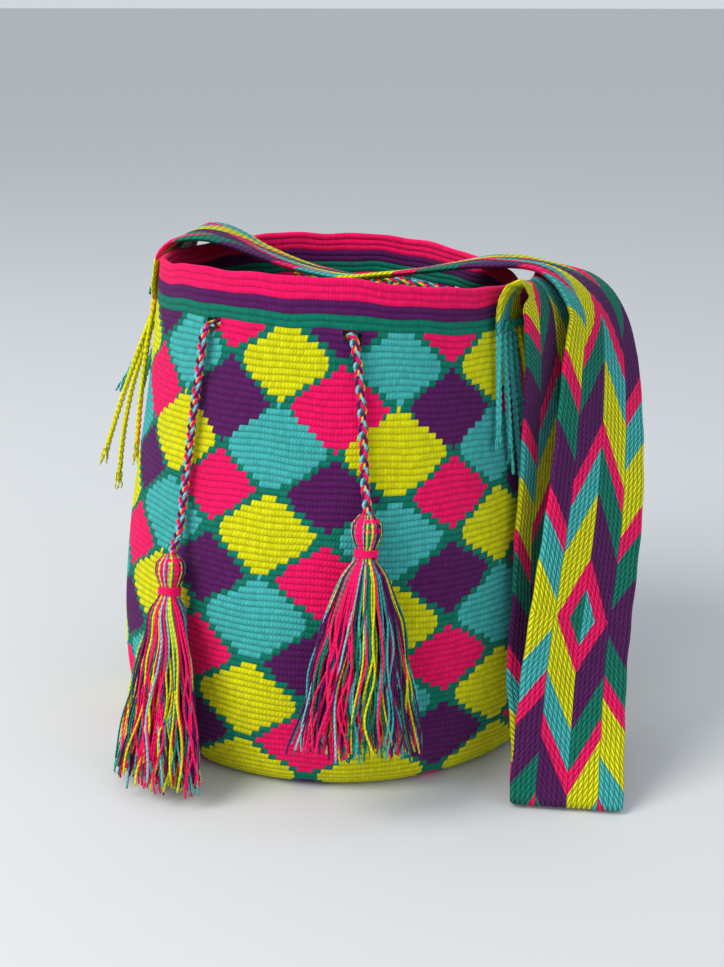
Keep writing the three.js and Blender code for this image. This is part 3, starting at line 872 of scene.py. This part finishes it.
def strapYarn(eye):
    settings = strapSettings
    material, tree, shader = startMaterial("strapYarn", {"roughness": 0.8, "specular": 0.18, "sheen": 0.04})
    calc = calculator(tree)
    cord, along = mappedUv(tree, settings["cords"], settings["mapLength"])
    column = calc("ADD", calc("FLOOR", cord), 0.5)
    part = calc("FRACT", cord)
    place = calc("SUBTRACT", calc("MULTIPLY", column, 2 / settings["cords"]), 1)  # -1 to 1 across the band
    out = calc("ABSOLUTE", place)
    isRight = calc("GREATER_THAN", place, 0)
    isOuter = calc("GREATER_THAN", out, settings["zoneEdge"])
    fromEye = calc("SUBTRACT", along, eye)
    before = calc("LESS_THAN", fromEye, 0)
    stretch = calc("ADD", calc("MULTIPLY", before, 1 / 1.225 - 0.95), 0.95)
    away = calc("MULTIPLY", calc("ABSOLUTE", fromEye), stretch)
    innerLean = calc("MULTIPLY", out, 64)
    outerLean = calc("MULTIPLY", calc("SUBTRACT", 1, out), 44)
    # the plies slant with the band edges
    upward = calc("SUBTRACT", calc("MULTIPLY", before, 2), 1)
    rightward = calc("SUBTRACT", calc("MULTIPLY", isRight, 2), 1)
    outward = calc("SUBTRACT", calc("MULTIPLY", isOuter, 2), 1)
    slantSign = calc("MULTIPLY", calc("MULTIPLY", upward, rightward), outward)
    slant = calc("MULTIPLY", calc("MULTIPLY", slantSign, 5.4), calc("SUBTRACT", part, 0.5))
    lean = calc("ADD", calc("MULTIPLY", calc("SUBTRACT", outerLean, innerLean), isOuter), innerLean)
    reach = calc("SUBTRACT", calc("ADD", away, lean), calc("MULTIPLY", calc("MULTIPLY", slant, upward), 1))
    shift = calc("ADD", calc("MULTIPLY", isOuter, 39), calc("MULTIPLY", isRight, 72))
    period = sum(size for _, size in settings["bands"])
    phase = calc("FRACT", calc("DIVIDE", calc("ADD", calc("ADD", reach, shift), period - 32), period))
    stops, start = [], 0
    for name, size in settings["bands"]:
        stops.append((start / period, name))
        start += size
    bands = steppedColours(tree, phase, stops)
    core = mixColours(tree, isRight, yarnColours["green"], yarnColours["turquoise"])
    eyeColour = mixColours(tree, calc("GREATER_THAN", reach, 16), core, yarnColours["pink"])
    inEye = calc("MULTIPLY", calc("LESS_THAN", reach, 32), calc("SUBTRACT", 1, isOuter))
    colour = mixColours(tree, inEye, bands, eyeColour)

    ply = calc("FRACT", calc("DIVIDE", calc("ADD", along, slant), 4.2))
    plyRidge = calc("POWER", calc("SINE", calc("MULTIPLY", ply, math.pi)), 0.5)
    cordRidge = calc("POWER", calc("SINE", calc("MULTIPLY", part, math.pi)), 0.45)
    height = calc("MULTIPLY", plyRidge, cordRidge)
    fine = calc("ADD", height, calc("MULTIPLY", noise(tree, 1600), 0.25))
    level = calc("MULTIPLY", cellNoise(tree, column, calc("FLOOR", calc("DIVIDE", calc("ADD", along, slant), 4.2))), 0.16)
    variation = calc("ADD", calc("ADD", level, calc("MULTIPLY", noise(tree, 30, 2), 0.16)), 1.0)
    # painted shade darkens each groove between cords and between plies
    tree.links.new(shaded(tree, colour, height, 0.6, variation), shader.inputs["Base Color"])
    addBump(tree, shader, fine, 0.0015)
    return material


makeStrap()

# zigzag of yarn that sews each strap end to the wall
stitchingSettings = {
    "count": 8,
    "yarnRadius": 1.0,
    "lift": 3.75,
    "left": {"outward": (-1, -0.05, 0), "low": 286.5, "high": 291},
    "right": {"outward": (0.98, -0.2, 0), "low": 283, "high": 289},
}


def makeStitching(sideName):
    settings = stitchingSettings
    station = fringeSettings[sideName]["station"]
    across = unit(station[3:])
    outward = np.array(settings[sideName]["outward"])
    points = []
    for i in range(2 * settings["count"] + 1):
        place = -0.9 + 1.8 * i / (2 * settings["count"])
        point = np.array(station[:3]) + across * place * fringeSettings["halfStrap"] + outward * settings["lift"]
        point[2] = settings[sideName]["low" if i % 2 == 0 else "high"]
        points.append(point)
    bundle = newBundle()
    addTube(bundle, evenly(curveThrough(points, 10), 0.9), settings["yarnRadius"], outward, 7)
    return makePiece(f"{sideName}StrapStitching", bundle, stitchYarn, [f"{sideName}_strap_stitching"], "stitch_yarn")


stitchYarn = yarnMaterial("stitchYarn", dict(plyYarnSettings, pitch=3.5), "green")
for stitchedSide in ("left", "right"):
    makeStitching(stitchedSide)

# floor and light
studioSettings = {
    "floorSize": 400,  # metres
    "floorColour": (0.62, 0.63, 0.64),
    "worldColour": (0.80, 0.86, 0.92),
    "worldStrength": 0.80,
    "key": {"place": (-1.3, -1.5, 1.9), "size": 1.8, "energy": 62, "colour": (1.0, 0.985, 0.96)},
    "fill": {"place": (1.9, -0.9, 1.1), "size": 1.6, "energy": 7, "colour": (0.94, 0.97, 1.0)},
}


def makeStudio(settings):
    bpy.ops.mesh.primitive_plane_add(size=settings["floorSize"])
    floor = bpy.context.active_object
    floor.name = "floor"
    surface = bpy.data.materials.new("paleFloor")
    surface.use_nodes = True
    shader = surface.node_tree.nodes["Principled BSDF"]
    shader.inputs["Base Color"].default_value = settings["floorColour"] + (1,)
    shader.inputs["Roughness"].default_value = 0.9
    floor.data.materials.append(surface)
    world = bpy.data.worlds.new("studio")
    world.use_nodes = True
    world.node_tree.nodes["Background"].inputs[0].default_value = settings["worldColour"] + (1,)
    world.node_tree.nodes["Background"].inputs[1].default_value = settings["worldStrength"]
    bpy.context.scene.world = world
    for name in ("key", "fill"):
        values = settings[name]
        data = bpy.data.lights.new(name, "AREA")
        data.shape = "DISK"
        data.size = values["size"]
        data.energy = values["energy"]
        data.color = values["colour"]
        light = bpy.data.objects.new(name, data)
        light.location = values["place"]
        light.rotation_euler = (Vector((0, 0, 0.15)) - light.location).to_track_quat("-Z", "Y").to_euler()
        bpy.context.scene.collection.objects.link(light)


makeStudio(studioSettings)

print("done")
